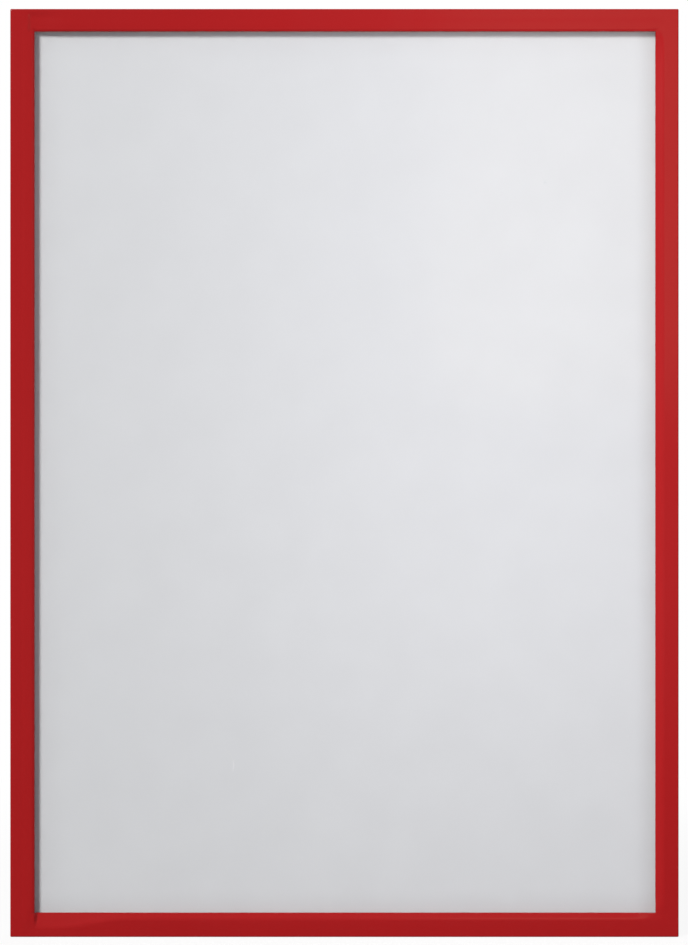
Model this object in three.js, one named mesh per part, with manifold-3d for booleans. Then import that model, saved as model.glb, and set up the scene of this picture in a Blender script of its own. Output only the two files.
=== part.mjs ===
// A wall-mounted display pocket for one sheet of paper, in portrait format.
// A moulded front frame with a clear pane swings open on a film hinge along its left edge.
// Magnet strips in three of its bars hold it shut on steel strips let into the back panel.
//
// Millimetres. X is to the right, Y points into the wall and Z is up, seen from the front.
// The origin is the middle of the wall face, which is the rear of the centre adhesive pad.

import * as THREE from 'three';
import { mergeVertices } from 'three/addons/utils/BufferGeometryUtils.js';
import Module from 'manifold-3d';

const wasm = await Module();
wasm.setup();

// The sheet on display
const sheetWidth = 210;
const sheetHeight = 297;
const sheetThickness = 0.25;
const sheetPlay = 0.5; // between the sheet's edge and the side of the rebate
const sheetSlack = 0.3; // free depth between the sheet and the pane

// Front frame
const outerWall = 0.8; // wall outside the magnet channel
const ribWall = 0.6; // rib between the channel and the rebate
const lipOverlap = 0.8; // how far the lip covers the sheet's edge
const lipEdge = 0.9; // height of the upright inner edge below the rounded band
const cushionWidth = 2.7; // rounded band along the inner edge
const cushionDrop = 0.9; // how far that band falls towards the window
const frameCornerRadius = 0.6;
const frontEdgeRadius = 0.35;

// Window pane and the tape that bonds it behind the lip
const paneThickness = 0.5;
const panePlay = 0.1;
const tapeThickness = 0.15;
const tapeMargin = 0.2;

// Magnet strips, and the steel keeper strips that they close on
const magnetWidth = 5;
const magnetThickness = 1.5;
const magnetPlay = 0.05; // on each side, in the channel
const magnetSink = 0.05; // how far the magnet lies below the rear face
const keeperWidth = 5;
const keeperThickness = 0.5;
const keeperPlay = 0.05;
const keeperSink = 0.05;
const stripEndPlay = 0.5; // at each end of a magnet or a keeper
const cornerMargin = 5; // solid corner left beyond the finger scallop

// Back panel
const backThickness = 1.5;
const backInset = 0.4; // behind the frame's outline, except on the hinge side
const fingerScallop = 8.5; // radius cut from the two right-hand corners

// Adhesive foam pads
const padWidth = 50;
const padHeight = 20;
const padThickness = 1.6; // with the panel, more than the frame's depth, so that it opens flat
const padRadius = 2;
const padEdge = 12; // from the panel's edge to a corner pad

// Film hinge, folded once along the left edge
const filmThickness = 0.2;
const filmFoldGap = 0.1; // between the two leaves
const filmEndMargin = 2; // above and below the film
const leafMargin = 0.5; // from the leaf's free edge to the rebate
const filmPlay = 0.05; // round the leaves in their recesses

// Clearances
const seat = 0.02; // between faces that are bonded or rest on each other
const bodyGap = 0.05; // between the closed frame and the back panel
const past = 1; // how far a cutter runs past the face that it opens

// Steps on the round stretches
const cornerSteps = 6;
const edgeSteps = 5;
const cushionSteps = 10;
const scallopSteps = 48;

// Worked out across the bars, as insets from the frame's outline
const channelWidth = magnetWidth + 2 * magnetPlay;
const rebateInset = outerWall + channelWidth + ribWall;
const barWidth = rebateInset + sheetPlay + lipOverlap;
const stripInset = outerWall + channelWidth / 2; // middle of the magnets and keepers
const frameWidth = sheetWidth + 2 * (rebateInset + sheetPlay);
const frameHeight = sheetHeight + 2 * (rebateInset + sheetPlay);
const leafWidth = rebateInset - leafMargin;
const filmHeight = frameHeight - 2 * filmEndMargin;
const tapeWidth = sheetPlay + lipOverlap - 2 * tapeMargin;
const tapeInset = rebateInset + tapeMargin + tapeWidth / 2;

// Worked out through the depth, from the frame's front face
const lipDepth = cushionDrop + lipEdge;
const tapeDepth = lipDepth + seat;
const paneDepth = tapeDepth + tapeThickness + seat;
const channelDepth = magnetSink + magnetThickness + seat;
const paneRear = paneDepth + paneThickness;
const frameDepth = paneRear + sheetSlack + sheetThickness + seat - bodyGap;

// Worked out from the wall, along Y
const panelRear = -(padThickness + seat);
const panelFront = panelRear - backThickness;
const frameRear = panelFront - bodyGap;
const frameFront = frameRear - frameDepth;
const hingeLine = (panelFront + frameRear) / 2;
const filmRecess = filmThickness + filmFoldGap / 2 - bodyGap / 2 + filmPlay;
const grooveDepth = keeperSink + keeperThickness + seat;

// Strips stop short of the corners, where the scallops are
const cornerLand = fingerScallop + cornerMargin;
const flatChannelLength = frameWidth - 2 * cornerLand;
const uprightChannelLength = frameHeight - 2 * cornerLand;

const materials = {
  frame: new THREE.MeshStandardMaterial({ color: 0xb0191d, roughness: 0.38, metalness: 0 }),
  pane: new THREE.MeshStandardMaterial({
    color: 0xf4f7f8,
    roughness: 0.16,
    metalness: 0,
    transparent: true,
    opacity: 0.25,
  }),
  tape: new THREE.MeshStandardMaterial({ color: 0xe6e3da, roughness: 0.6, metalness: 0 }),
  magnet: new THREE.MeshStandardMaterial({ color: 0x2b2a29, roughness: 0.7, metalness: 0 }),
  steel: new THREE.MeshStandardMaterial({ color: 0xb4b7ba, roughness: 0.35, metalness: 1 }),
  film: new THREE.MeshStandardMaterial({ color: 0xe9edee, roughness: 0.3, metalness: 0 }),
  panel: new THREE.MeshStandardMaterial({ color: 0xeceded, roughness: 0.55, metalness: 0 }),
  foam: new THREE.MeshStandardMaterial({ color: 0xd9dadb, roughness: 0.9, metalness: 0 }),
  card: new THREE.MeshStandardMaterial({ color: 0xf0f1f2, roughness: 0.8, metalness: 0 }),
};

// Solids, for cutting

function solidFrom(geometry) {
  const bare = geometry.clone();
  bare.deleteAttribute('normal');
  bare.deleteAttribute('uv');
  const merged = mergeVertices(bare);
  const mesh = new wasm.Mesh({
    numProp: 3,
    vertProperties: merged.attributes.position.array,
    triVerts: new Uint32Array(merged.index.array),
  });
  return new wasm.Manifold(mesh);
}

function geometryFrom(solid) {
  const mesh = solid.getMesh();
  const geometry = new THREE.BufferGeometry();
  geometry.setAttribute('position', new THREE.BufferAttribute(mesh.vertProperties, 3));
  geometry.setIndex(new THREE.BufferAttribute(mesh.triVerts, 1));
  geometry.computeVertexNormals();
  return geometry;
}

function cut(geometry, cutters) {
  let solid = solidFrom(geometry);
  for (const cutter of cutters) solid = solid.subtract(solidFrom(cutter));
  return geometryFrom(solid);
}

// Shapes

// A rounded rectangle in the XZ plane, as points taken anticlockwise seen from the front.
function outline(width, height, radius, steps) {
  const points = [];
  const corners = [[1, 1], [-1, 1], [-1, -1], [1, -1]];
  corners.forEach(([sideX, sideZ], corner) => {
    for (let step = 0; step <= steps; step++) {
      const angle = (corner + step / steps) * (Math.PI / 2);
      points.push([
        sideX * (width / 2 - radius) + radius * Math.cos(angle),
        sideZ * (height / 2 - radius) + radius * Math.sin(angle),
      ]);
    }
  });
  return points;
}

// A closed block through a row of outlines, each at its own depth along Y, front one first.
// Strips from the upper to the lower half of an outline close each end.
function loft(levels) {
  const positions = [];
  const index = [];
  const count = levels[0].points.length;
  for (const { depth, points } of levels) {
    for (const [x, z] of points) positions.push(x, depth, z);
  }
  for (let level = 0; level + 1 < levels.length; level++) {
    for (let i = 0; i < count; i++) {
      const next = (i + 1) % count;
      const front = level * count;
      const rear = front + count;
      index.push(front + i, rear + i, front + next);
      index.push(front + next, rear + i, rear + next);
    }
  }
  const last = (levels.length - 1) * count;
  for (let upper = 0; upper + 1 < count / 2; upper++) {
    const lower = count - 1 - upper;
    index.push(upper, upper + 1, lower);
    index.push(upper + 1, lower - 1, lower);
    index.push(last + upper, last + lower, last + upper + 1);
    index.push(last + upper + 1, last + lower, last + lower - 1);
  }
  const geometry = new THREE.BufferGeometry();
  geometry.setAttribute('position', new THREE.Float32BufferAttribute(positions, 3));
  geometry.setIndex(index);
  geometry.computeVertexNormals();
  return geometry;
}

// An upright plate with rounded corners, from one depth to another.
function plate(width, height, radius, front, rear) {
  const points = outline(width, height, radius, cornerSteps);
  return loft([{ depth: front, points }, { depth: rear, points }]);
}

// A box centred on x and z, from one depth to another.
function block(width, height, x, z, front, rear) {
  const geometry = new THREE.BoxGeometry(width, rear - front, height);
  return geometry.translate(x, (front + rear) / 2, z);
}

// Places along the bars that carry a magnet or a keeper
const bars = [
  { side: 'top', length: flatChannelLength, flat: true, x: 0, z: frameHeight / 2 - stripInset },
  { side: 'bottom', length: flatChannelLength, flat: true, x: 0, z: stripInset - frameHeight / 2 },
  { side: 'right', length: uprightChannelLength, flat: false, x: frameWidth / 2 - stripInset, z: 0 },
];

// A block along one of those bars.
function barBlock(bar, width, endPlay, front, rear) {
  const length = bar.length - 2 * endPlay;
  return bar.flat
    ? block(length, width, bar.x, bar.z, front, rear)
    : block(width, length, bar.x, bar.z, front, rear);
}

// The moulded frame: rounded outside, with the window, the rebate and the channels cut out.
// Its front face is at Y = 0 in its own group.
function frontFrame() {
  const levels = [];
  for (let step = 0; step <= edgeSteps; step++) {
    const angle = (step / edgeSteps) * (Math.PI / 2);
    const inset = frontEdgeRadius * (1 - Math.sin(angle));
    levels.push({
      depth: frontEdgeRadius * (1 - Math.cos(angle)),
      points: outline(
        frameWidth - 2 * inset,
        frameHeight - 2 * inset,
        Math.max(frameCornerRadius - inset, frameCornerRadius / 10),
        cornerSteps,
      ),
    });
  }
  levels.push({
    depth: frameDepth,
    points: outline(frameWidth, frameHeight, frameCornerRadius, cornerSteps),
  });

  const cutters = [windowCutter(), rebateCutter(), frameFilmCutter()];
  for (const bar of bars) {
    cutters.push(barBlock(bar, channelWidth, 0, frameDepth - channelDepth, frameDepth + past));
  }
  return cut(loft(levels), cutters);
}

function insetRectangle(inset) {
  const x = frameWidth / 2 - inset;
  const z = frameHeight / 2 - inset;
  return [[x, z], [-x, z], [-x, -z], [x, -z]];
}

// The window, whose rounded band is an arc that leaves the front face at a tangent.
function windowCutter() {
  const radius = (cushionWidth ** 2 + cushionDrop ** 2) / (2 * cushionDrop);
  const sweep = Math.asin(cushionWidth / radius);
  const start = barWidth - cushionWidth;
  const levels = [{ depth: -past, points: insetRectangle(start) }];
  for (let step = 0; step <= cushionSteps; step++) {
    const angle = (step / cushionSteps) * sweep;
    levels.push({
      depth: radius * (1 - Math.cos(angle)),
      points: insetRectangle(start + radius * Math.sin(angle)),
    });
  }
  levels.push({ depth: frameDepth + past, points: insetRectangle(barWidth) });
  return loft(levels);
}

function rebateCutter() {
  const width = frameWidth - 2 * rebateInset;
  const height = frameHeight - 2 * rebateInset;
  return block(width, height, 0, 0, lipDepth, frameDepth + past);
}

// The recess for the hinge film's front leaf, open on the left.
function frameFilmCutter() {
  const width = past + leafWidth + filmPlay;
  const x = -frameWidth / 2 - past + width / 2;
  const height = filmHeight + 2 * filmPlay;
  return block(width, height, x, 0, frameDepth - filmRecess, frameDepth + past);
}

function windowPane() {
  const width = frameWidth - 2 * (rebateInset + panePlay);
  const height = frameHeight - 2 * (rebateInset + panePlay);
  return block(width, height, 0, 0, paneDepth, paneDepth + paneThickness);
}

// The four tapes: those at the top and bottom run over the ends of the side ones.
function paneTapes() {
  const across = frameWidth - 2 * (rebateInset + tapeMargin);
  const upright = frameHeight - 2 * (tapeInset + tapeWidth / 2 + seat);
  const x = frameWidth / 2 - tapeInset;
  const z = frameHeight / 2 - tapeInset;
  const rear = tapeDepth + tapeThickness;
  return {
    pane_tape_top: block(across, tapeWidth, 0, z, tapeDepth, rear),
    pane_tape_bottom: block(across, tapeWidth, 0, -z, tapeDepth, rear),
    pane_tape_left: block(tapeWidth, upright, -x, 0, tapeDepth, rear),
    pane_tape_right: block(tapeWidth, upright, x, 0, tapeDepth, rear),
  };
}

function magnetStrip(bar) {
  const rear = frameDepth - magnetSink;
  return barBlock(bar, magnetWidth, stripEndPlay, rear - magnetThickness, rear);
}

// The hinge film: a strip folded in half, its fold along the frame's left edge.
function hingeFilm() {
  const left = -frameWidth / 2;
  const right = left + leafWidth;
  const outer = filmThickness + filmFoldGap / 2;
  const inner = filmFoldGap / 2;
  const profile = new THREE.Shape();
  profile.moveTo(left, hingeLine - outer);
  profile.lineTo(right, hingeLine - outer);
  profile.lineTo(right, hingeLine - inner);
  profile.lineTo(left + filmThickness, hingeLine - inner);
  profile.lineTo(left + filmThickness, hingeLine + inner);
  profile.lineTo(right, hingeLine + inner);
  profile.lineTo(right, hingeLine + outer);
  profile.lineTo(left, hingeLine + outer);
  profile.closePath();
  const film = new THREE.ExtrudeGeometry(profile, { depth: filmHeight, bevelEnabled: false });
  return film.translate(0, 0, -filmHeight / 2);
}

// The back panel, with grooves for the keepers, a recess for the hinge film's rear leaf, and
// a scallop in each right-hand corner, where a fingertip pulls the frame open.
function backPanel() {
  const width = frameWidth - backInset;
  const height = frameHeight - 2 * backInset;
  const body = plate(width, height, frameCornerRadius, panelFront, panelRear);
  body.translate(-backInset / 2, 0, 0);

  const cutters = [panelFilmCutter()];
  for (const bar of bars) {
    const grooveWidth = keeperWidth + 2 * keeperPlay;
    cutters.push(barBlock(bar, grooveWidth, 0, panelFront - past, panelFront + grooveDepth));
  }
  for (const end of [1, -1]) {
    const depth = backThickness + 2 * past;
    const scallop = new THREE.CylinderGeometry(fingerScallop, fingerScallop, depth, scallopSteps);
    scallop.translate(frameWidth / 2 - backInset, (panelFront + panelRear) / 2, (end * height) / 2);
    cutters.push(scallop);
  }
  return cut(body, cutters);
}

function panelFilmCutter() {
  const width = past + leafWidth + filmPlay;
  const x = -frameWidth / 2 - past + width / 2;
  const height = filmHeight + 2 * filmPlay;
  return block(width, height, x, 0, panelFront - past, panelFront + filmRecess);
}

function keeperStrip(bar) {
  const front = panelFront + keeperSink;
  return barBlock(bar, keeperWidth, stripEndPlay, front, front + keeperThickness);
}

function insertSheet() {
  const rear = panelFront - seat;
  return block(sheetWidth, sheetHeight, 0, 0, rear - sheetThickness, rear);
}

// One pad near each corner and one in the middle, whose rear faces meet the wall.
function adhesivePads() {
  const x = frameWidth / 2 - backInset - padEdge - padWidth / 2;
  const z = frameHeight / 2 - backInset - padEdge - padHeight / 2;
  const places = {
    top_left: [-x, z],
    top_right: [x, z],
    centre: [0, 0],
    bottom_left: [-x, -z],
    bottom_right: [x, -z],
  };
  return Object.entries(places).map(([place, [padX, padZ]]) => ({
    name: `adhesive_pad_${place}`,
    x: padX,
    z: padZ,
    geometry: plate(padWidth, padHeight, padRadius, -padThickness, 0),
  }));
}

function piece(name, geometry, material) {
  const mesh = new THREE.Mesh(geometry, material);
  mesh.name = name;
  return mesh;
}

// Everything that swings open
function front() {
  const group = new THREE.Group();
  group.position.y = frameFront;
  group.add(piece('front_frame', frontFrame(), materials.frame));
  group.add(piece('window_pane', windowPane(), materials.pane));
  for (const [name, geometry] of Object.entries(paneTapes())) {
    group.add(piece(name, geometry, materials.tape));
  }
  for (const bar of bars) {
    group.add(piece(`magnet_strip_${bar.side}`, magnetStrip(bar), materials.magnet));
  }
  return group;
}

// Everything that stays on the wall
function back() {
  const group = new THREE.Group();
  group.add(piece('back_panel', backPanel(), materials.panel));
  for (const bar of bars) {
    group.add(piece(`keeper_strip_${bar.side}`, keeperStrip(bar), materials.steel));
  }
  for (const pad of adhesivePads()) {
    const mesh = piece(pad.name, pad.geometry, materials.foam);
    mesh.position.set(pad.x, 0, pad.z);
    group.add(mesh);
  }
  group.add(piece('insert_sheet', insertSheet(), materials.card));
  group.add(piece('hinge_film', hingeFilm(), materials.film));
  return group;
}

const displayPocket = new THREE.Group();
displayPocket.add(front());
displayPocket.add(back());

export default displayPocket;
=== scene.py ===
import math

import bmesh
import bpy
import numpy as np
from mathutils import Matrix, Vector


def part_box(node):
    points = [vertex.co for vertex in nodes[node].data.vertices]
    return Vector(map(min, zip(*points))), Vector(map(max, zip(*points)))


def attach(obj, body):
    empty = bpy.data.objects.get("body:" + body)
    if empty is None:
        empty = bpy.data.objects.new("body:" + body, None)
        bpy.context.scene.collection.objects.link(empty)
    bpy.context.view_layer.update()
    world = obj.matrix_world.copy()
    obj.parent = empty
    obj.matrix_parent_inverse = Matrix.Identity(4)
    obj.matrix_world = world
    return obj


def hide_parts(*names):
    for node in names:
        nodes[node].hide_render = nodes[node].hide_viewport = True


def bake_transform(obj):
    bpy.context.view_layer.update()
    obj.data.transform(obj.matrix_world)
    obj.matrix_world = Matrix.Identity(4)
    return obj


# A display pocket for one sheet: red moulded frame, clear pane, white card, magnets and a
# white back panel on foam pads. Lengths in the dictionaries are millimetres, as in the CAD.

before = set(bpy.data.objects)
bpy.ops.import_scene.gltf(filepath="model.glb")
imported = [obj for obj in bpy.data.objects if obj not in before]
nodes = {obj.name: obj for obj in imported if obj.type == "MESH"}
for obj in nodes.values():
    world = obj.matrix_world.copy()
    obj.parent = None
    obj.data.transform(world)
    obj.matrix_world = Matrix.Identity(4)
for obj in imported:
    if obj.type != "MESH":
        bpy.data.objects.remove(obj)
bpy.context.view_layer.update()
mm = 0.001
print("frame loaded:", len(nodes), "nodes")


def boxOf(name):
    low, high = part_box(name)
    return np.array(low) / mm, np.array(high) / mm


frameLow, frameHigh = boxOf("front_frame")
paneLow, paneHigh = boxOf("window_pane")
sheetLow, sheetHigh = boxOf("insert_sheet")


# Shader maths

class Socket:
    # an output that takes part in sums: each operator adds one Math node
    def __init__(self, finish, socket):
        self.finish, self.socket = finish, socket

    def math(self, operation, *others):
        return self.finish.node("ShaderNodeMath", {"operation": operation},
                                dict(enumerate((self, *others))))

    def __add__(self, other):
        return self.math("ADD", other)

    def __sub__(self, other):
        return self.math("SUBTRACT", other)

    def __mul__(self, other):
        return self.math("MULTIPLY", other)

    def __gt__(self, other):
        return self.math("GREATER_THAN", other)

    def __abs__(self):
        return self.math("ABSOLUTE")

    __radd__, __rmul__ = __add__, __mul__

    def __rsub__(self, other):
        return self.finish.node("ShaderNodeMath", {"operation": "SUBTRACT"}, {0: other, 1: self})


class Finish:
    # one node tree: a material's, or the world's
    def __init__(self, owner):
        self.owner = owner
        owner.use_nodes = True
        self.tree = owner.node_tree
        self.tree.nodes.clear()

    def node(self, kind, settings=None, links=None, output=0):
        made = self.tree.nodes.new(kind)
        for key, value in (settings or {}).items():
            if key == "stops":
                ramp = made.color_ramp.elements
                while len(ramp) < len(value):
                    ramp.new(0.5)
                for element, (place, colour) in zip(ramp, value):
                    element.position, element.color = place, (*colour, 1)
            else:
                setattr(made, key, value)
        for key, value in (links or {}).items():
            if isinstance(value, Socket):
                self.tree.links.new(value.socket, made.inputs[key])
            else:
                made.inputs[key].default_value = value
        return Socket(self, made.outputs[output]) if made.outputs else None

    def place(self, scale=(1, 1, 1), turn=(0, 0, 0)):
        # object coordinates, in metres, turned and stretched for a pattern
        objects = self.node("ShaderNodeTexCoord", output="Object")
        return self.node("ShaderNodeMapping", {"vector_type": "POINT"},
                         {0: objects, "Rotation": turn, "Scale": scale})

    def noise(self, where, size, detail=3.0, roughness=0.5):
        # cloudy noise from 0 to 1, whose lumps are about size millimetres across
        return self.node("ShaderNodeTexNoise", {"normalize": True},
                         {"Vector": where, "Scale": 1 / (size * mm), "Detail": detail,
                          "Roughness": roughness})

    def cells(self, where, size):
        # distance to the nearest of scattered points, about size millimetres apart
        return self.node("ShaderNodeTexVoronoi", {"feature": "F1"},
                         {"Vector": where, "Scale": 1 / (size * mm)}, "Distance")

    def smooth(self, value, low, high, bottom=0.0, top=1.0):
        # smoothstep from bottom to top as value goes from low to high
        return self.node("ShaderNodeMapRange", {"interpolation_type": "SMOOTHSTEP"},
                         {"Value": value, "From Min": low, "From Max": high,
                          "To Min": bottom, "To Max": top})

    def blendColour(self, factor, first, second):
        colours = [c if isinstance(c, Socket) else (*c, 1) for c in (first, second)]
        return self.node("ShaderNodeMix", {"data_type": "RGBA"},
                         {0: factor, 6: colours[0], 7: colours[1]}, 2)

    def bump(self, height, depth, strength=1.0, normal=None):
        # height from 0 to 1 stands for depth millimetres of relief
        links = {"Height": height, "Distance": depth * mm, "Strength": strength}
        if normal:
            links["Normal"] = normal
        return self.node("ShaderNodeBump", None, links)

    def surface(self, links):
        shader = self.node("ShaderNodeBsdfPrincipled", None, links)
        self.node("ShaderNodeOutputMaterial", None, {"Surface": shader})
        return self.owner


def newMaterial(name):
    return Finish(bpy.data.materials.new(name))


# Finishes

midTones = (0.3, 0.7)      # the part of a noise's range that most of it lies in
uprightFrom = 105.5 * mm   # the right-hand strips lie past this and stand upright

redPlastic = {
    "colour": (0.412, 0.0127, 0.0142), "shade": (0.392, 0.0117, 0.0132),
    "cloudSize": 38, "grainSize": 0.35, "grainDepth": 0.004,
    "grainStrength": 0.6, "roughness": (0.12, 0.155), "scuffSize": 9, "shine": 0.44, "ior": 1.46,
}


def makeRedPlastic(spec):
    # satin moulded plastic: a faint cloud of pigment, a spark-eroded grain and light rubbing
    finish = newMaterial("redPlastic")
    where = finish.place()
    cloud = finish.noise(where, spec["cloudSize"], 2)
    rubbed = finish.noise(finish.place(scale=(1, 1, 0.25)), spec["scuffSize"], 5, 0.6)
    grain = finish.noise(where, spec["grainSize"], 2)
    return finish.surface({
        "Base Color": finish.blendColour(cloud, spec["colour"], spec["shade"]),
        "Roughness": finish.smooth(rubbed, *midTones, *spec["roughness"]),
        "Normal": finish.bump(grain, spec["grainDepth"], spec["grainStrength"]),
        "IOR": spec["ior"], "Specular IOR Level": spec["shine"],
    })


clearPane = {
    "colour": (0.30, 0.31, 0.32), "alpha": 0.042, "roughness": (0.10, 0.15), "ior": 4.5,
    "shine": 1.0, "hazeSize": 24, "hazeTones": (0.3, 0.75),
    "peelSize": 2.2, "peelDepth": 0.008, "pimpleSize": 0.9, "pimpleDepth": 0.005,
}


def makeClearPane(spec):
    # clear sheet with a fine orange peel, so that a reflection breaks up along its edge
    finish = newMaterial("clearPane")
    where = finish.place()
    peel = finish.noise(where, spec["peelSize"], 2)
    pimples = finish.noise(where, spec["pimpleSize"], 1)
    haze = finish.noise(where, spec["hazeSize"], 4, 0.6)
    relief = finish.bump(pimples, spec["pimpleDepth"], 1, finish.bump(peel, spec["peelDepth"]))
    return finish.surface({
        "Base Color": (*spec["colour"], 1),
        "Alpha": spec["alpha"],
        "Roughness": finish.smooth(haze, *spec["hazeTones"], *spec["roughness"]),
        "IOR": spec["ior"], "Specular IOR Level": spec["shine"], "Normal": relief,
    })


whiteCard = {
    "colour": (0.750, 0.783, 0.805), "shade": (0.729, 0.761, 0.783),
    "fibreSize": 0.5, "cloudSize": 14, "fibreDepth": 0.006, "fibreStrength": 0.5,
    "roughness": (0.72, 0.82), "shine": 0.3,
    # grey flecks in the pulp: x, z and radius; and a short curved crease: x, z and radius, and
    # how far to each side its line is full and has faded out
    "fleck": (0.66, 0.71, 0.73),
    "flecks": ((67.4, 97.6, 0.8), (74.4, 36.8, 0.8), (-59.1, 101.6, 0.45), (-84.6, 17.7, 0.45),
               (-10.5, -52.7, 0.45)),
    "crease": (-37.2, -98.2, 3.2), "creaseWidth": (0.05, 0.3), "creaseColour": (0.84, 0.86, 0.88),
    # painted shade: the card is darker towards its edges, standing for the shade beside the lips:
    # how far in each margin starts and ends, and its tone
    "paintedShadeMargins": {"left": (13, 2, 0.96), "right": (8, 1.2, 0.88), "top": (11, 3, 0.975),
                "bottom": (9, 1.2, 0.935)},
}


def makeWhiteCard(spec):
    # smooth uncoated card: short fibres, the faint cloudiness of the pulp, flecks, a crease that is
    # the right-hand end of a thin ring, whose centre lies one radius left of it, and painted shade
    # at its edges
    finish = newMaterial("whiteCard")
    fibres = finish.noise(finish.place(scale=(1, 1, 0.3), turn=(0, 0.35, 0)), spec["fibreSize"], 3)
    crossed = finish.noise(finish.place(scale=(0.3, 1, 1)), spec["fibreSize"], 3)
    cloud = finish.noise(finish.place(), spec["cloudSize"], 4, 0.55)
    cloudTone = finish.smooth(fibres * 0.25 + crossed * 0.25 + cloud * 0.5, 0.35, 0.65)

    def away(x, z):
        return finish.node("ShaderNodeVectorMath", {"operation": "DISTANCE"},
                           {0: finish.place(), 1: (x * mm, sheetLow[1] * mm, z * mm)}, "Value")

    fleck = 0
    for x, z, radius in spec["flecks"]:
        fleck = finish.smooth(away(x, z), 0.2 * radius * mm, radius * mm, 1, 0) + fleck
    x, z, radius = spec["crease"]
    across = finish.node("ShaderNodeSeparateXYZ", None, {0: finish.place()}, "X")
    bend = finish.smooth(across, (x - 0.2 * radius) * mm, (x - 0.1 * radius) * mm)
    inner, outer = spec["creaseWidth"]
    ring = abs(away(x - radius, z) - radius * mm)
    crease = finish.smooth(ring, inner * mm, outer * mm, 1, 0) * bend
    up = finish.node("ShaderNodeSeparateXYZ", None, {0: finish.place()}, "Z")
    # painted shade: the base colour is mixed towards black near each edge, for the shade beside the
    # lips
    grey = 1
    for side, (start, end, tone) in spec["paintedShadeMargins"].items():
        along, limit = (across, sheetHigh[0]) if side in ("left", "right") else (up, sheetHigh[2])
        inward = limit * mm - (along if side in ("right", "top") else along * -1)
        grey = finish.smooth(inward, end * mm, start * mm, tone, 1) * grey
    pulp = finish.blendColour(cloudTone, spec["shade"], spec["colour"])
    marked = finish.blendColour(fleck, pulp, spec["fleck"])
    creased = finish.blendColour(crease, marked, spec["creaseColour"])
    return finish.surface({
        "Base Color": finish.blendColour(1 - grey, creased, (0, 0, 0)),
        "Roughness": finish.smooth(cloud, 0.2, 0.8, *spec["roughness"]),
        "Normal": finish.bump(fibres + crossed, spec["fibreDepth"], spec["fibreStrength"]),
        "Specular IOR Level": spec["shine"],
    })


panelPlastic = {
    "colour": (0.80, 0.80, 0.79), "shade": (0.755, 0.757, 0.75),
    "grainSize": 0.45, "grainDepth": 0.012, "flowSize": 30, "roughness": (0.46, 0.62),
}


def makePanelPlastic(spec):
    # rigid white sheet with a fine matt grain and a few faint rubbed streaks
    finish = newMaterial("panelPlastic")
    where = finish.place()
    grain = finish.noise(where, spec["grainSize"], 3)
    flow = finish.noise(finish.place(scale=(1, 1, 0.2), turn=(0, 0.12, 0)), spec["flowSize"], 5, 0.6)
    return finish.surface({
        "Base Color": finish.blendColour(flow, spec["shade"], spec["colour"]),
        "Roughness": finish.smooth(flow, *midTones, *spec["roughness"]),
        "Normal": finish.bump(grain, spec["grainDepth"], 0.5),
    })


magnetRubber = {
    "colour": (0.030, 0.028, 0.027), "dust": (0.062, 0.058, 0.054),
    "lineSize": 0.3, "lineDepth": 0.02, "speckSize": 0.5, "speckDepth": 0.02,
    "roughness": (0.48, 0.66),
}


def makeMagnetRubber(spec):
    # extruded ferrite rubber: lines along its length and pale grains of powder
    finish = newMaterial("magnetRubber")
    where = finish.place()
    lines = finish.noise(finish.place(scale=(0.03, 1, 1)), spec["lineSize"], 3)
    uprightLines = finish.noise(finish.place(scale=(1, 1, 0.03)), spec["lineSize"], 3)
    grains = finish.noise(where, spec["speckSize"], 3, 0.6)
    right = finish.node("ShaderNodeSeparateXYZ", None, {0: where}, "X") > uprightFrom
    along = lines * (1 - right) + uprightLines * right
    powder = finish.smooth(grains, 0.55, 0.75)
    relief = finish.bump(grains, spec["speckDepth"], 0.5)
    return finish.surface({
        "Base Color": finish.blendColour(powder, spec["colour"], spec["dust"]),
        "Roughness": finish.smooth(along, *midTones, *spec["roughness"]),
        "Normal": finish.bump(along, spec["lineDepth"], 0.6, relief),
    })


keeperSteel = {
    "colour": (0.66, 0.67, 0.68), "shade": (0.50, 0.51, 0.52), "metal": 0.6,
    "spangleSize": 2.4, "brushSize": 0.12, "brushDepth": 0.004, "roughness": (0.42, 0.58),
}


def makeKeeperSteel(spec):
    # galvanised strip: small zinc spangles under fine rolling lines
    finish = newMaterial("keeperSteel")
    where = finish.place()
    spangle = finish.node("ShaderNodeTexVoronoi", {"feature": "F1"},
                          {"Vector": where, "Scale": 1 / (spec["spangleSize"] * mm)}, "Color")
    tone = finish.node("ShaderNodeSeparateColor", None, {0: spangle})
    level = finish.noise(finish.place(scale=(0.02, 1, 1)), spec["brushSize"], 2)
    upright = finish.noise(finish.place(scale=(1, 1, 0.02)), spec["brushSize"], 2)
    right = finish.node("ShaderNodeSeparateXYZ", None, {0: where}, "X") > uprightFrom
    rolled = level * (1 - right) + upright * right
    return finish.surface({
        "Base Color": finish.blendColour(tone * 0.6 + rolled * 0.4, spec["shade"], spec["colour"]),
        "Metallic": spec["metal"],
        "Roughness": finish.smooth(tone * 0.5 + rolled * 0.5, 0.2, 0.8, *spec["roughness"]),
        "Normal": finish.bump(rolled, spec["brushDepth"], 0.6),
    })


foamTape = {
    "colour": (0.72, 0.72, 0.71), "cell": (0.60, 0.60, 0.59), "gum": (0.66, 0.67, 0.66),
    "cellSize": 0.28, "cellDepth": 0.06, "gumDepth": 0.12, "dragSize": 1.6, "dragDepth": 0.02,
    "roughness": (0.9, 0.24),
}


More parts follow.
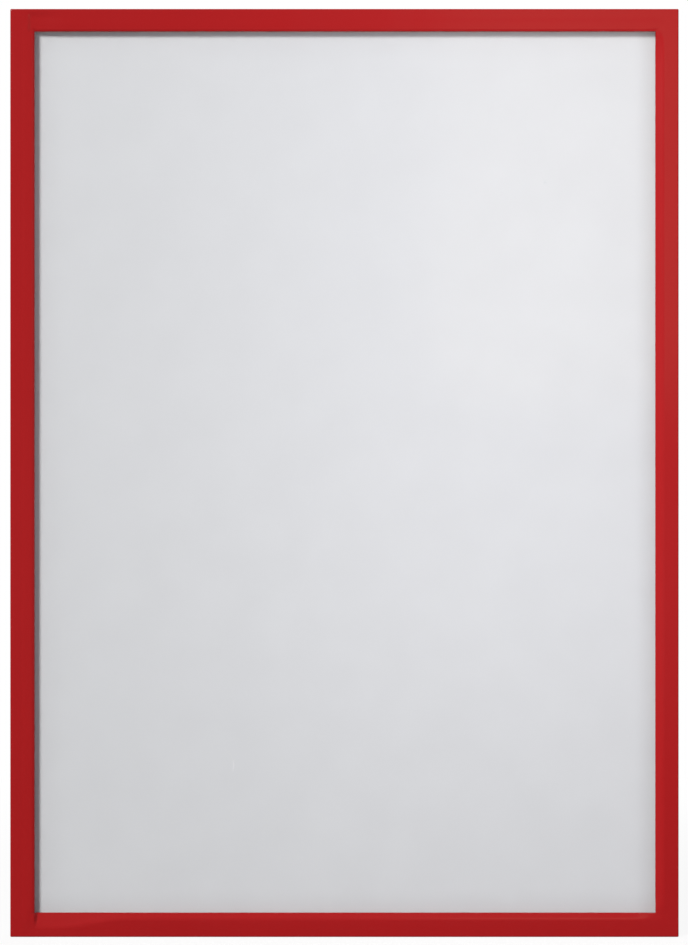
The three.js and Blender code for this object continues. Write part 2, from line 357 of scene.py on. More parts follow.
def makeFoamTape(spec):
    # closed-cell foam: open cells on the cut edges, their hollows in painted shade, and a smooth
    # film of gum on both faces
    finish = newMaterial("foamTape")
    where = finish.place()
    cells = finish.cells(where, spec["cellSize"])
    depth = finish.node("ShaderNodeSeparateXYZ", None, {0: where}, "Y")
    low, high = boxOf("adhesive_pad_centre")
    middle, half = (low[1] + high[1]) / 2, (high[1] - low[1]) / 2
    gum = finish.smooth(abs(depth - middle * mm), (half - spec["gumDepth"]) * mm, half * mm)
    drag = finish.noise(finish.place(scale=(0.15, 1, 1)), spec["dragSize"], 4)
    # painted shade: the pit of each open cell gets the darker cell colour
    sides = finish.blendColour(finish.smooth(cells, 0.15, 0.6), spec["cell"], spec["colour"])
    relief = cells * (1 - gum) * spec["cellDepth"] + drag * gum * spec["dragDepth"]
    return finish.surface({
        "Base Color": finish.blendColour(gum, sides, spec["gum"]),
        "Roughness": finish.smooth(gum * (0.6 + drag * 0.4), 0, 1, *spec["roughness"]),
        "Normal": finish.bump(relief, 1.0, 0.6),
    })


bondTape = {
    "colour": (0.78, 0.76, 0.70), "shade": (0.70, 0.68, 0.61), "wrinkleSize": 1.1,
    "tissueSize": 0.25, "tissueDepth": 0.01, "roughness": (0.35, 0.6),
}


def makeBondTape(spec):
    # double-sided tissue tape, milky where it has wetted out less
    finish = newMaterial("bondTape")
    where = finish.place()
    wetted = finish.noise(where, spec["wrinkleSize"], 4, 0.6)
    tissue = finish.noise(where, spec["tissueSize"], 2)
    milky = finish.smooth(wetted, 0.35, 0.65)
    return finish.surface({
        "Base Color": finish.blendColour(milky, spec["shade"], spec["colour"]),
        "Roughness": finish.smooth(wetted, *midTones, *spec["roughness"]),
        "Normal": finish.bump(tissue, spec["tissueDepth"], 0.5),
    })


filmPlastic = {
    "colour": (0.86, 0.87, 0.88), "crease": (0.93, 0.935, 0.94), "alpha": 0.5,
    "creaseShare": 0.06,   # of the film's width, to each side of its middle
    "lineSize": 0.35, "frostSize": 0.2, "reliefDepth": 0.01, "roughness": (0.28, 0.42),
}


def makeFilmPlastic(spec):
    # frosted film, drawn along its length and stress-whitened at its crease
    finish = newMaterial("filmPlastic")
    across = finish.node("ShaderNodeTexCoord", output="UV")
    sideways = finish.node("ShaderNodeSeparateXYZ", None, {0: across}, "X")
    drawn = finish.noise(finish.place(scale=(1, 1, 0.02)), spec["lineSize"], 3)
    frost = finish.noise(finish.place(), spec["frostSize"], 2)
    creased = finish.smooth(abs(sideways - 0.5), 0, spec["creaseShare"], 1, 0)
    return finish.surface({
        "Base Color": finish.blendColour(creased, spec["colour"], spec["crease"]),
        "Alpha": spec["alpha"],
        "Roughness": finish.smooth(drawn, *midTones, *spec["roughness"]),
        "Normal": finish.bump(drawn * 0.6 + frost * 0.4, spec["reliefDepth"], 0.6),
    })


finishes = {
    "frame_plastic": makeRedPlastic(redPlastic),
    "clear_pane": makeClearPane(clearPane),
    "blank_card": makeWhiteCard(whiteCard),
    "panel_plastic": makePanelPlastic(panelPlastic),
    "magnet_strip": makeMagnetRubber(magnetRubber),
    "keeper_steel": makeKeeperSteel(keeperSteel),
    "foam_pad": makeFoamTape(foamTape),
    "bonding_tape": makeBondTape(bondTape),
    "hinge_film": makeFilmPlastic(filmPlastic),
}
print("finishes made:", len(finishes))


# Surfaces

def gridFaces(rows, columns, closeRows=False, closeColumns=False):
    # one quad between each point of a grid and its next row and column
    row = np.arange(rows if closeRows else rows - 1)[:, None]
    column = np.arange(columns if closeColumns else columns - 1)[None, :]
    nextRow, nextColumn = (row + 1) % rows, (column + 1) % columns
    corners = [row * columns + column, row * columns + nextColumn,
               nextRow * columns + nextColumn, nextRow * columns + column]
    return np.stack(np.broadcast_arrays(*corners), -1).reshape(-1, 4)


def buildPiece(name, points, faces, slot, smoothAngle=35.0):
    # a mesh in metres from points in millimetres: doubles merged, faces turned outwards
    mesh = bpy.data.meshes.new(name)
    mesh.from_pydata((np.asarray(points, float) * mm).tolist(), [], [list(f) for f in faces])
    work = bmesh.new()
    work.from_mesh(mesh)
    bmesh.ops.remove_doubles(work, verts=work.verts, dist=1e-7)
    bmesh.ops.dissolve_degenerate(work, edges=work.edges, dist=1e-7)
    bmesh.ops.recalc_face_normals(work, faces=work.faces)
    work.to_mesh(mesh)
    work.free()
    mesh.shade_smooth()
    mesh.set_sharp_from_angle(angle=math.radians(smoothAngle))
    piece = bpy.data.objects.new(name, mesh)
    bpy.context.scene.collection.objects.link(piece)
    mesh.materials.append(finishes[slot])
    return piece


def roundedPolygon(corners, steps):
    # each corner (u, t, radius) becomes an arc that touches both of its sides
    corners = np.array(corners, float)
    at, radius = corners[:, :2], corners[:, 2:]
    before, after = np.roll(at, 1, 0) - at, np.roll(at, -1, 0) - at
    before /= np.linalg.norm(before, axis=1, keepdims=True)
    after /= np.linalg.norm(after, axis=1, keepdims=True)
    half = np.arccos(np.clip((before * after).sum(1, keepdims=True), -1, 1)) / 2
    middle = (before + after) / np.linalg.norm(before + after, axis=1, keepdims=True)
    centre = at + middle * radius / np.sin(half)
    start = at + before * radius / np.tan(half) - centre
    end = at + after * radius / np.tan(half) - centre
    turn = np.pi - 2 * half
    share = np.linspace(0, 1, steps + 1)[None, :]
    first, second = np.sin((1 - share) * turn), np.sin(share * turn)
    arc = first[..., None] * start[:, None] + second[..., None] * end[:, None]
    return (centre[:, None] + arc / np.sin(turn)[..., None]).reshape(-1, 2)


def roundedBox(low, high, radius, steps=4):
    # a sphere's grid of directions, each octant pushed out to its own corner of the box
    quarter = np.linspace(0, np.pi / 2, steps + 1)
    turn = (np.arange(4)[:, None] * np.pi / 2 + quarter).ravel()
    tilt = np.concatenate([quarter - np.pi / 2, quarter])
    signX = np.repeat([1, -1, -1, 1], steps + 1)
    signY = np.repeat([1, 1, -1, -1], steps + 1)
    signZ = np.repeat([-1, 1], steps + 1)
    half = (high - low) / 2 - radius
    x = radius * np.cos(tilt)[:, None] * np.cos(turn) + half[0] * signX
    y = radius * np.cos(tilt)[:, None] * np.sin(turn) + half[1] * signY
    z = np.broadcast_to((radius * np.sin(tilt) + half[2] * signZ)[:, None], x.shape)
    points = np.stack([x, y, z], -1).reshape(-1, 3) + (low + high) / 2
    rows, columns = len(tilt), len(turn)
    caps = [list(range(columns)), list(range((rows - 1) * columns, rows * columns))]
    return points, [*gridFaces(rows, columns, closeColumns=True).tolist(), *caps]


def flatShading(piece):
    # broad flat faces keep their own normal beside the small rounded edges
    modifier = piece.modifiers.new("flatShading", "WEIGHTED_NORMAL")
    modifier.keep_sharp = True
    return piece


def standFor(piece, body, *replaced):
    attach(piece, body)
    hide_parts(*replaced)
    return piece


# Front frame: a section carried round the outline, with mitred corners

frontFrame = {
    "lipOverlap": 0.8, "paneInset": 0.1, "tapeSeat": 0.02,
    # how much wider the lip is on each bar, as the moulding came out
    "lipExtra": {"left": 0.28, "right": -0.10, "top": -0.32, "bottom": 0.18},
    "outerRadius": 0.38, "frontRadius": 0.35, "rearRadius": 0.15, "lipRadius": 0.1,
    "windowRadius": 0.001, "rebateRadius": 0.05, "smoothAngle": 32,
    "radiusSteps": 5, "flatStep": 0.32, "cornerSteps": 6,
    "fineStep": 0.35, "fineLength": 14, "coarseStep": 2.6,
    # sloping band along the inner edge of each bar: its slope, how far the slope is steady,
    # and where it has eased out
    "slopes": {"left": 0.60, "right": 0.50, "top": 0.55, "bottom": 0.45},
    "steady": {"left": 0.1, "right": 1.3, "top": 0.05, "bottom": 1.1},
    "bands": {"left": 1.1, "right": 3.4, "top": 1.0, "bottom": 2.9},
    # how much of the band is lost at the window's right-hand corners, and over what distance
    "cornerEase": (0.7, 4.5),
    # a bead beside the band, which stands this much above the flat of the bar
    "beads": {"left": 0.06, "right": 0.0, "top": 0.03, "bottom": 0.0},
    "beadPlace": (2.9, 4.4), "mitreBlend": 5.0,
    # the level bars butt against the hinge bar: the ramp down to their bands, how far the hinge
    # bar's band runs on past the window, and the step of their faces below the hinge bar's: its
    # depth, where it starts and ends in x, where it fades, and its reach across the bar
    "buttRamp": 0.8, "bandRunOn": 1.0, "buttStep": {"top": 0.28, "bottom": 0.07},
    "stepPlace": (-106.1, -105.2), "stepFade": (-103.5, -93), "stepStart": (-0.5, 0),
    "stepReach": (4.6, 6.9),
    # the bottom bar's band is wider near the hinge and less steep: its extra width, where that
    # fades out, and the share of slope lost
    "wideBand": (2.8, -96, -74, 0.36),
    # sink marks: x, z, width, height and depth of each dent
    "sinks": ((107.2, -147.6, 1.8, 2.4, 0.09),),
    "channelPlay": 0.05, "channelEndPlay": 0.5, "channelFloor": 0.02, "filmPlay": 0.05,
    "cutRadius": 0.04, "cutPast": 1.0,
}


def smoothStep(value, low, high):
    share = np.clip((value - low) / (high - low), 0, 1)
    return share * share * (3 - 2 * share)


def barValues(values, x, z):
    # what the upright bar and the level bar nearest to a point have, as two arrays
    upright = np.where(x < 0, values["left"], values["right"])
    return upright, np.where(z > 0, values["top"], values["bottom"])


def bandFall(v, slope, steady, width):
    # a steady slope from the window's edge, v = 0, which then eases out by smoothstep: with u
    # from 0 to 1 over the easing part, its fall is slope (width - steady) (1/2 - u + u^3 - u^4/2)
    u = np.clip((v - steady) / (width - steady), 0, 1)
    eased = (width - steady) * (0.5 - u + u ** 3 - u ** 4 / 2)
    return slope * (eased + np.clip(steady - v, 0, None))


def bandDrop(x, z, windowX, windowZ, spec):
    # How far the face lies behind the front plane: the band's fall, the step at the hinge bar,
    # the bead and the sink marks. On the right the bars blend round the window's corner.
    a, b = np.abs(x) - windowX, np.abs(z) - windowZ
    side = smoothStep(a - b, -spec["mitreBlend"], spec["mitreBlend"])
    v = np.hypot(np.maximum(a, 0), np.maximum(b, 0))

    def onBars(values):
        upright, level = barValues(values, x, z)
        return side * upright + (1 - side) * level

    shape = [spec[name] for name in ("slopes", "steady", "bands")]
    lost, lostReach = spec["cornerEase"]
    near = np.exp(-(a ** 2 + b ** 2) / lostReach ** 2)
    rounded = bandFall(v, *map(onBars, shape)) * (1 - lost * near)
    past = smoothStep(-a, 0, spec["buttRamp"])
    (uprightSlope, levelSlope), (uprightSteady, levelSteady), (uprightWidth, levelWidth) = [
        barValues(values, x, z) for values in shape]
    extra, nearEnd, farEnd, slopeLoss = spec["wideBand"]
    nearHinge = np.where(z < 0, 1 - smoothStep(x, nearEnd, farEnd), 0)
    wider, levelSlope = extra * nearHinge, levelSlope * (1 - slopeLoss * nearHinge)
    upright = bandFall(np.maximum(a, 0), uprightSlope, uprightSteady, uprightWidth)
    level = bandFall(np.maximum(b, 0), levelSlope, levelSteady + wider, levelWidth + wider)
    butted = (1 - past) * upright * (1 - smoothStep(b, 0, spec["bandRunOn"])) + past * level
    step = (np.where(z > 0, spec["buttStep"]["top"], spec["buttStep"]["bottom"])
            * smoothStep(x, *spec["stepPlace"]) * (1 - smoothStep(x, *spec["stepFade"]))
            * smoothStep(b, *spec["stepStart"]) * (1 - smoothStep(b, *spec["stepReach"])))
    bead = onBars(spec["beads"]) * smoothStep(v, *spec["beadPlace"])
    sinkDepth = sum(depth * np.exp(-((x - sx) / wide) ** 2 - ((z - sz) / tall) ** 2)
                    for sx, sz, wide, tall, depth in spec["sinks"])
    return np.where(x < 0, butted + step, rounded) + bead + sinkDepth


def frameStations(halfX, halfZ, spec):
    # Each station is (a, b, cx, cz): its point at inset u is a times the half width and b times
    # the half height, both less max(u, R), plus (cx, cz) times max(R - u, 0) for the radius R.
    def alongBar(half):
        straight = half - spec["outerRadius"]
        fine = np.arange(0, spec["fineLength"], spec["fineStep"])
        middle = straight - spec["fineLength"]
        coarse = np.linspace(-middle, middle, int(2 * middle / spec["coarseStep"]) + 2)
        return np.concatenate([fine - straight, coarse, straight - fine[::-1]]) / straight

    turn = np.linspace(0, np.pi / 2, spec["cornerSteps"] + 1)
    rows = []
    for k, (sx, sz) in enumerate([(1, 1), (-1, 1), (-1, -1), (1, -1)]):
        angle = turn + k * np.pi / 2
        rows.append(np.stack([np.full_like(angle, sx), np.full_like(angle, sz),
                              np.cos(angle), np.sin(angle)], -1))
        along = alongBar(halfX if k % 2 == 0 else halfZ)[1:-1]
        steady = np.ones_like(along)
        bar = {0: (-along, steady, 0 * steady, steady), 1: (-steady, -along, -steady, 0 * steady),
               2: (along, -steady, 0 * steady, -steady), 3: (steady, along, steady, 0 * steady)}[k]
        rows.append(np.stack(bar, -1))
    return np.concatenate(rows)


def makeFrontFrame(spec):
    # The section's points are (u, t): inset from the outline and depth behind the front. Each
    # is carried to every station, and the lip is drawn out or in by its extra width.
    low, high = frameLow, frameHigh
    halfX, halfZ = high[0], high[2]
    depth = high[1] - low[1]
    barWidth = sheetLow[0] + spec["lipOverlap"] - low[0]
    rebate = paneLow[0] - spec["paneInset"] - low[0]
    lipDepth = boxOf("pane_tape_top")[0][1] - spec["tapeSeat"] - low[1]
    section = roundedPolygon([
        (0, depth, spec["rearRadius"]), (0, 0, spec["frontRadius"]),
        (barWidth, 0, spec["windowRadius"]), (barWidth, lipDepth, spec["lipRadius"]),
        (rebate, lipDepth, spec["rebateRadius"]), (rebate, depth, spec["lipRadius"]),
    ], spec["radiusSteps"])
    # points at a steady step along the section, with every corner point kept
    closed = np.vstack([section, section[:1]])
    reach = np.concatenate([[0], np.cumsum(np.linalg.norm(np.diff(closed, axis=0), axis=1))])
    extra = np.arange(0, reach[-1], spec["flatStep"])
    extra = extra[np.abs(extra[:, None] - reach).min(1) > spec["flatStep"] / 4]
    knots = np.sort(np.concatenate([reach[:-1], extra]))
    u, t = np.interp(knots, reach, closed[:, 0]), np.interp(knots, reach, closed[:, 1])
    a, b, cx, cz = frameStations(halfX, halfZ, spec).T[..., None]
    flat, bend = np.maximum(u, spec["outerRadius"]), np.maximum(spec["outerRadius"] - u, 0)
    extraX, extraZ = barValues(spec["lipExtra"], a, b)
    inLip = np.clip((u - rebate) / (barWidth - rebate), 0, 1)
    x = a * (halfX - flat - extraX * inLip) + cx * bend
    z = b * (halfZ - flat - extraZ * inLip) + cz * bend
    drop = bandDrop(x, z, halfX - barWidth - extraX, halfZ - barWidth - extraZ, spec)
    # the drop moves the face, and the upright edge below it is drawn in to match
    y = np.minimum(t, lipDepth) / lipDepth
    y = np.where(t < lipDepth, t + drop * (1 - y), t)
    y = np.where((u < spec["frontRadius"]) & (t > spec["frontRadius"]), t, y)
    points = np.stack([x, low[1] + y, z], -1).reshape(-1, 3)
    faces = gridFaces(len(a), len(u), closeRows=True, closeColumns=True)
    return buildPiece("moulded_frame", points, faces, "frame_plastic", spec["smoothAngle"])


def cutBoxes(piece, boxes, radius):
    # takes boxes, in millimetres, out of a closed piece
    cutters = []
    for low, high in boxes:
        points, faces = roundedBox(np.array(low, float), np.array(high, float), radius, 1)
        cutter = buildPiece("cutter", points, faces, "frame_plastic")
        modifier = piece.modifiers.new("cut", "BOOLEAN")
        modifier.operation, modifier.object, modifier.solver = "DIFFERENCE", cutter, "EXACT"
        cutters.append(cutter)
    bpy.context.view_layer.update()
    evaluated = piece.evaluated_get(bpy.context.evaluated_depsgraph_get())
    cutMesh = bpy.data.meshes.new_from_object(evaluated)
    piece.modifiers.clear()
    piece.data = cutMesh
    for cutter in cutters:
        bpy.data.objects.remove(cutter)
    return piece


def frameCuts(spec):
    # a channel round each magnet and a recess for the hinge film, all open at the rear
    past = spec["cutPast"]
    rear = frameHigh[1] + past
    boxes = []
    for side in ("top", "bottom", "right"):
        low, high = boxOf(f"magnet_strip_{side}")
        long = int(side == "right") * 2
        for limit, sign in ((low, -1), (high, 1)):
            limit[0] += sign * spec["channelPlay"]
            limit[2] += sign * spec["channelPlay"]
            limit[long] += sign * (spec["channelEndPlay"] - spec["channelPlay"])
        boxes.append(((low[0], low[1] - spec["channelFloor"], low[2]), (high[0], rear, high[2])))
    low, high = boxOf("hinge_film")
    play = spec["filmPlay"]
    boxes.append(((low[0] - past, low[1] - play, low[2] - play),
                  (high[0] + play, rear, high[2] + play)))
    return boxes


mouldedFrame = cutBoxes(makeFrontFrame(frontFrame), frameCuts(frontFrame), frontFrame["cutRadius"])
standFor(mouldedFrame, "front", "front_frame")
print("front frame:", len(mouldedFrame.data.polygons), "faces")


# Window pane: a thin sheet with slow ripples, flat where the tape holds its rim

rippledPane = {
    # how far in from the rim the ripples begin, and where they have their full height
    "columns": 106, "rows": 148, "rimFade": (0.4, 12.0), "smoothAngle": 40,
    # wavelength across and up, phase and height of each ripple
    "ripples": ((92, 140, 0.6, 0.060), (-61, 83, 2.1, 0.028), (170, -58, 4.0, 0.024),
                (47, 190, 1.2, 0.010)),
}


def makePane(spec):
    # Height is a sum of sines of x and z, faded out over the rim; both faces follow it.
    low, high = paneLow, paneHigh
    x = np.linspace(low[0], high[0], spec["columns"])[None, :]
    z = np.linspace(low[2], high[2], spec["rows"])[:, None]
    lift = sum(height * np.sin(2 * np.pi * (x / across + z / up) + phase)
               for across, up, phase, height in spec["ripples"])
    rim = np.minimum(high[0] - np.abs(x), high[2] - np.abs(z))
    lift = lift * smoothStep(rim, *spec["rimFade"])
    sheet = []
    for face in (low[1], high[1]):
        grid = np.broadcast_arrays(x, face + lift, z)
        sheet.append(np.stack(grid, -1).reshape(-1, 3))
    count = spec["rows"] * spec["columns"]
    faces = gridFaces(spec["rows"], spec["columns"])
    index = np.arange(count).reshape(spec["rows"], spec["columns"])
    border = np.concatenate([index[0, :-1], index[:-1, -1], index[-1, :0:-1], index[:0:-1, 0]])
    onward = np.roll(border, -1)
    walls = np.stack([border, onward, onward + count, border + count], -1)
    everyFace = np.concatenate([faces, faces + count, walls])
    return buildPiece("clear_sheet", np.concatenate(sheet), everyFace, "clear_pane",
                      spec["smoothAngle"])


clearSheet = standFor(makePane(rippledPane), "front", "window_pane")
print("pane:", len(clearSheet.data.polygons), "faces")


# Strips: rounded bars in the place of their nodes

strips = {
    "magnets": {"radius": 0.22, "slot": "magnet_strip", "body": "front", "kind": "magnet_strip"},
    "keepers": {"radius": 0.08, "slot": "keeper_steel", "body": "back", "kind": "keeper_strip"},
}
for strip in strips.values():
    for side in ("top", "bottom", "right"):
        node = f"{strip['kind']}_{side}"
        points, faces = roundedBox(*boxOf(node), strip["radius"])
        piece = flatShading(buildPiece(f"{strip['kind']}_bar_{side}", points, faces, strip["slot"]))
        standFor(piece, strip["body"], node)
print("strips made")


# Foam pads: rounded slabs whose cut edges swell a little between the gummed faces

foamPads = {
    "cornerRadius": 2.0, "cornerSteps": 10, "rim": 0.12, "swell": 0.14, "layers": 14, "steps": 5,
}


def makePad(name, spec):
    # The outline is a rectangle with round corners; through the thickness its inset is the
    # rim's arc at each face, less the swell times the sine of the depth.
    low, high = boxOf(name)
    half, middle = (high - low) / 2, (high + low) / 2
    turn = (np.arange(4)[:, None] * np.pi / 2
            + np.linspace(0, np.pi / 2, spec["cornerSteps"] + 1)).ravel()
    signX = np.repeat([1, -1, -1, 1], spec["cornerSteps"] + 1)
    signZ = np.repeat([1, 1, -1, -1], spec["cornerSteps"] + 1)
    radius, rim = spec["cornerRadius"], spec["rim"]
    arc = np.linspace(0, np.pi / 2, spec["steps"] + 1)
    depth = np.concatenate([low[1] + rim * (1 - np.cos(arc)),
                            np.linspace(low[1] + rim, high[1] - rim, spec["layers"])[1:-1],
                            high[1] - rim * (1 - np.cos(arc[::-1]))])
    inset = np.concatenate([rim * (1 - np.sin(arc)), np.zeros(spec["layers"] - 2),
                            rim * (1 - np.sin(arc[::-1]))])
    inset = inset + spec["swell"] * (1 - np.sin(np.pi * (depth - low[1]) / (2 * half[1])))
    reach = (radius - inset)[:, None]
    x = middle[0] + signX * (half[0] - radius) + reach * np.cos(turn)
    z = middle[2] + signZ * (half[2] - radius) + reach * np.sin(turn)
    points = np.stack([x, np.broadcast_to(depth[:, None], x.shape), z], -1).reshape(-1, 3)
    rows, columns = x.shape
    caps = [list(range(columns)), list(range((rows - 1) * columns, rows * columns))]
    faces = [*gridFaces(rows, columns, closeColumns=True).tolist(), *caps]
    return flatShading(buildPiece(name.replace("adhesive", "foam"), points, faces, "foam_pad"))


for place in ("top_left", "top_right", "centre", "bottom_left", "bottom_right"):
    pad = standFor(makePad(f"adhesive_pad_{place}", foamPads), "back", f"adhesive_pad_{place}")
print("foam pads made")


# Hinge film: two leaves and a round fold, as a section carried up the hinge

hingeFilm = {
    "wall": 0.2, "foldSteps": 12, "leafSteps": 13, "levels": 60, "smoothAngle": 50,
    "bendReach": 0.05,   # how far to each side of the hinge the film bends
}


def makeFilm(spec):
    # The section's middle line runs along one leaf, round half a circle and back along the
    # other; the wall is half its thickness to each side.
    low, high = boxOf("hinge_film")
    fold = (high[1] - low[1] - spec["wall"]) / 2
    middleY = (low[1] + high[1]) / 2
    centreX = low[0] + fold + spec["wall"] / 2
    count = spec["leafSteps"]
    leaf = np.linspace(high[0], centreX, count + 1)[:-1]
    angle = np.linspace(-np.pi / 2, -3 * np.pi / 2, spec["foldSteps"] + 1)
    lineX = np.concatenate([leaf, centreX + fold * np.cos(angle), leaf[::-1]])
    lineY = np.concatenate([np.full(count, -fold), fold * np.sin(angle), np.full(count, fold)])
    normalX = np.concatenate([np.zeros(count), np.cos(angle), np.zeros(count)])
    normalY = np.concatenate([-np.ones(count), np.sin(angle), np.ones(count)])
    half = spec["wall"] / 2
    outerX, innerX = lineX + half * normalX, lineX - half * normalX
    outerY, innerY = lineY + half * normalY, lineY - half * normalY
    sectionX = np.concatenate([outerX, innerX[::-1]])
    sectionY = middleY + np.concatenate([outerY, innerY[::-1]])
    level = np.linspace(low[2], high[2], spec["levels"])
    x, z = np.meshgrid(sectionX, level)
    y = np.broadcast_to(sectionY, x.shape)
    points = np.stack([x, y, z], -1).reshape(-1, 3)
    rows, columns = x.shape
    around = np.arange(len(lineX) - 1)
    ends = []
    for start in (0, (rows - 1) * columns):
        ends.append(np.stack([start + around, start + around + 1,
                              start + columns - 2 - around, start + columns - 1 - around], -1))
    faces = np.concatenate([gridFaces(rows, columns, closeColumns=True), *ends])
    piece = buildPiece("folded_film", points, faces, "hinge_film", spec["smoothAngle"])
    # the pattern's own coordinate across the film, from one leaf's edge to the other's
    acrossFilm = np.linspace(0, 1, len(lineX))
    place = np.zeros(len(piece.data.vertices) * 3)
    piece.data.vertices.foreach_get("co", place)
    place = place.reshape(-1, 3) / mm
    candidates = np.stack([sectionX, sectionY], -1)
    share = np.concatenate([acrossFilm, acrossFilm[::-1]])
    nearest = np.linalg.norm(place[:, None, :2] - candidates[None], axis=2).argmin(1)
    corner = np.zeros(len(piece.data.loops), int)
    piece.data.loops.foreach_get("vertex_index", corner)
    layer = piece.data.uv_layers.new(name="acrossFilm")
    upFilm = (place[:, 2] - low[2]) / (high[2] - low[2])
    layer.data.foreach_set("uv", np.stack([share[nearest], upFilm], -1)[corner].ravel())
    return piece


foldedFilm = makeFilm(hingeFilm)
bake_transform(foldedFilm)
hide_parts("hinge_film")
print("hinge film made")


# Back panel: the CAD plate with its edges broken

backPlate = {"edge": 0.14, "segments": 2, "levelAngle": 1, "edgeAngle": 40}


def makeBackPlate(spec):
    # a copy of the plate: level triangles joined, and each edge sharper than the angle bevelled
    source = nodes["back_panel"].data
    points = np.zeros(len(source.vertices) * 3)
    source.vertices.foreach_get("co", points)
    corners = np.zeros(len(source.loops), int)
    source.loops.foreach_get("vertex_index", corners)
    piece = buildPiece("white_panel", points.reshape(-1, 3) / mm, corners.reshape(-1, 3),
                       "panel_plastic")
    work = bmesh.new()
    work.from_mesh(piece.data)
    bmesh.ops.dissolve_limit(work, angle_limit=math.radians(spec["levelAngle"]),
                             verts=work.verts, edges=work.edges)
    work.to_mesh(piece.data)
    work.free()
    bevel = piece.modifiers.new("brokenEdges", "BEVEL")
    bevel.width, bevel.segments = spec["edge"] * mm, spec["segments"]
    bevel.limit_method, bevel.angle_limit = "ANGLE", math.radians(spec["edgeAngle"])
    return flatShading(piece)


whitePanel = standFor(makeBackPlate(backPlate), "back", "back_panel")
print("back panel made")

# CAD nodes that stay: the card and the tapes

for name, node in nodes.items():
    slotName = {"insert_sheet": "blank_card"}.get(name, "bonding_tape" if "tape" in name else None)
    if slotName:
        node.data.materials.clear()
        node.data.materials.append(finishes[slotName])
print("carried-over nodes finished")


# Floor, world and lamps

studio = {
    # the floor: its radius and where its shadow fades out, in metres; its rings, as shares of
    # the radius; and its gap below the frame, in millimetres
    "floorRadius": 1.6, "floorRings": (0, 0.25, 0.6, 1.0), "floorSides": 96, "floorGap": 0.05,
    "floorFade": (0.1, 0.5), "floorColour": (0.90, 0.90, 0.90),
    "floorDim": (0.05, 0.05, 0.05), "floorBounce": (0.25, 0.24, 0.25),
    "floorShadow": 0.13, "roomLevel": 0.09,
    "mirrorFade": (0.3, 0.9), "behindFade": (0, 0.5),
    "skyLevel": 0.20, "skyColour": (1.10, 0.94, 1.06), "behindLevel": 0.7,
}


def makeFloor(spec):
    # pale floor: part of its white is its own, so that only a soft shadow shows on it
    sides = spec["floorSides"]
    turn = np.linspace(0, 2 * np.pi, sides + 1)[:-1]
    rings = np.array(spec["floorRings"])[:, None] * spec["floorRadius"] / mm
    x, y = rings * np.cos(turn), rings * np.sin(turn)
    z = np.full_like(x, frameLow[2] - spec["floorGap"])
    floor = buildPiece("floor", np.stack([x, y, z], -1).reshape(-1, 3),
                       gridFaces(len(rings), sides, closeColumns=True), "panel_plastic")
    finish = newMaterial("paleFloor")
    where = finish.place()
    away = finish.node("ShaderNodeVectorMath", {"operation": "LENGTH"}, {0: where}, "Value")
    path = {key: finish.node("ShaderNodeLightPath", output=key)
            for key in ("Is Camera Ray", "Is Diffuse Ray", "Is Glossy Ray", "Is Transmission Ray")}
    # mirrored white only behind the object: the floor in front of it stays dim there
    behind = finish.node("ShaderNodeSeparateXYZ", None, {0: where}, "Y") > 0
    seen = path["Is Camera Ray"] + path["Is Transmission Ray"] + path["Is Glossy Ray"] * behind
    own = finish.smooth(away, *spec["floorFade"], 1 - spec["floorShadow"], 1)
    white = finish.node("ShaderNodeEmission", None, {"Color": (1, 1, 1, 1), "Strength": 1.0})
    lit = finish.node("ShaderNodeBsdfDiffuse", None, {"Color": (*spec["floorColour"], 1)})
    unseen = finish.blendColour(path["Is Diffuse Ray"], spec["floorDim"], spec["floorBounce"])
    dim = finish.node("ShaderNodeBsdfDiffuse", None, {"Color": unseen})
    shown = finish.node("ShaderNodeMixShader", None, {0: own, 1: lit, 2: white})
    both = finish.node("ShaderNodeMixShader", None, {0: seen, 1: dim, 2: shown})
    finish.node("ShaderNodeOutputMaterial", None, {"Surface": both})
    floor.data.materials.clear()
    floor.data.materials.append(finish.owner)


def makeWorld(spec):
    # white where the camera sees it, and behind the object in reflections; a dim room in front,
    # and more light, in white, from behind the wall plane, which reaches only the object's rear
    world = bpy.data.worlds.new("studioWorld")
    bpy.context.scene.world = world
    finish = Finish(world)
    direction = finish.node("ShaderNodeTexCoord", output="Generated")
    depth = finish.node("ShaderNodeSeparateXYZ", None, {0: direction}, "Y")
    path = {key: finish.node("ShaderNodeLightPath", output=key)
            for key in ("Is Camera Ray", "Is Glossy Ray", "Is Transmission Ray")}
    mirrored = finish.smooth(depth, *spec["mirrorFade"], spec["roomLevel"], 1)
    seen = path["Is Camera Ray"] + path["Is Transmission Ray"]
    other = 1 - seen - path["Is Glossy Ray"]
    behind = finish.smooth(depth, *spec["behindFade"])
    around = behind * (spec["behindLevel"] - spec["skyLevel"]) + spec["skyLevel"]
    strength = seen + path["Is Glossy Ray"] * mirrored + other * around
    colour = finish.blendColour(other * (1 - behind), (1, 1, 1), spec["skyColour"])
    background = finish.node("ShaderNodeBackground", None, {"Color": colour, "Strength": strength})
    finish.node("ShaderNodeOutputWorld", None, {"Surface": background})


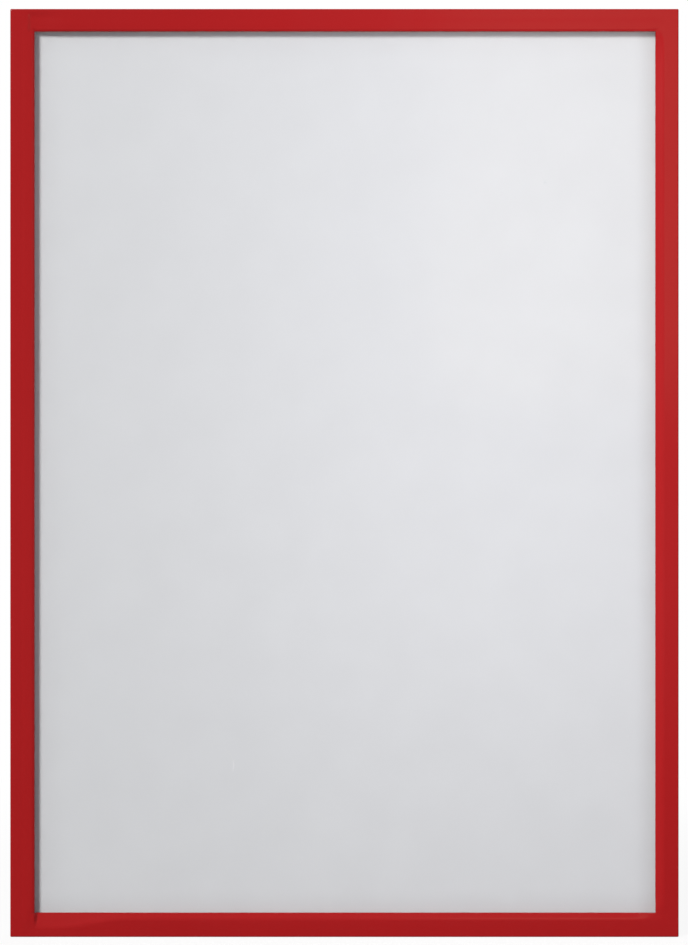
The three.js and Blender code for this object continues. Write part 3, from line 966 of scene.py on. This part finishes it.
lamps = {
    # place and aim in metres, size, and the level that a surface facing it at its aim gets
    "keyLamp": {"place": (-2.00, -2.78, 1.89), "aim": (0, 0, 0), "size": (1.0, 1.0),
                "level": 0.880, "colour": (1.0, 1.0, 0.97)},
    # a pale board at the upper right, which the pane mirrors
    "whiteBoard": {"place": (0.16, -0.80, 0.19), "aim": (0.16, 0, 0.19), "size": (0.20, 0.28),
                   "level": 0.0100, "colour": (1.15, 1.0, 0.70)},
    # two close fills that leave no reflection of their own: one in front, and one low at the
    # right, which the right-hand lip keeps off the strip of card beside it
    "frontFill": {"place": (0.06, -0.135, 0.07), "aim": (0.06, 0, 0.07), "size": (0.15, 0.35),
                  "level": 0.290, "colour": (1.03, 0.98, 1.02), "matt": True},
    "sideFill": {"place": (0.34, -0.12, 0.12), "aim": (0.06, 0, 0.12), "size": (0.20, 0.30),
                 "level": 0.09, "colour": (1.03, 0.98, 1.02), "matt": True},
}


def shareOfSky(width, height, away):
    # the share of a surface's sky that a rectangle square in front of it fills: 2/pi times
    # the sum of X/sqrt(1+X^2) atan(Y/sqrt(1+X^2)) and its mirror, X and Y half its sides / away
    x, y = width / 2 / away, height / 2 / away
    longX, longY = math.hypot(1, x), math.hypot(1, y)
    return 2 / math.pi * (x / longX * math.atan(y / longX) + y / longY * math.atan(x / longY))


def makeLamps(spec):
    # energy is level times pi times the lamp's area, over its share of the sky at its aim
    for name, lamp in spec.items():
        place, aim = Vector(lamp["place"]), Vector(lamp["aim"])
        light = bpy.data.lights.new(name, "AREA")
        light.shape = "RECTANGLE"
        width, height = lamp["size"]
        light.size, light.size_y = width, height
        light.energy = (lamp["level"] * math.pi * width * height
                        / shareOfSky(width, height, (place - aim).length))
        light.color = lamp["colour"]
        made = bpy.data.objects.new(name, light)
        made.visible_glossy, made.visible_camera = "matt" not in lamp, False
        made.location = place
        made.rotation_euler = (aim - place).to_track_quat("-Z", "Y").to_euler()
        bpy.context.scene.collection.objects.link(made)


makeFloor(studio)
makeWorld(studio)
makeLamps(lamps)
print("floor, world and lamps made")


# Camera: square on, as far away as makes the outline fill the picture as in the photograph

view = {
    "lens": 100.0, "sensor": 36.0, "clip": (0.05, 50), "pixels": (688, 945),
    # the frame's outline in the picture, in pixels: left, right, top and bottom
    "outline": (10.3, 678.6, 8.8, 937.1),
}


def makeCamera(spec):
    # distance is metres per pixel times the picture's height in pixels, times lens over sensor
    left, right, top, bottom = spec["outline"]
    width, height = spec["pixels"]
    perPixel = (frameHigh[2] - frameLow[2]) * mm / (bottom - top)
    distance = perPixel * height * spec["lens"] / spec["sensor"]
    data = bpy.data.cameras.new("pictureCamera")
    data.lens, data.sensor_width = spec["lens"], spec["sensor"]
    data.clip_start, data.clip_end = spec["clip"]
    camera = bpy.data.objects.new("pictureCamera", data)
    camera.location = (-((left + right) - width) / 2 * perPixel, frameLow[1] * mm - distance,
                       ((top + bottom) - height) / 2 * perPixel)
    camera.rotation_euler = (math.pi / 2, 0, 0)
    bpy.context.scene.collection.objects.link(camera)
    bpy.context.scene.camera = camera


makeCamera(view)
bpy.context.scene.view_settings.view_transform = "Standard"
print("camera made")
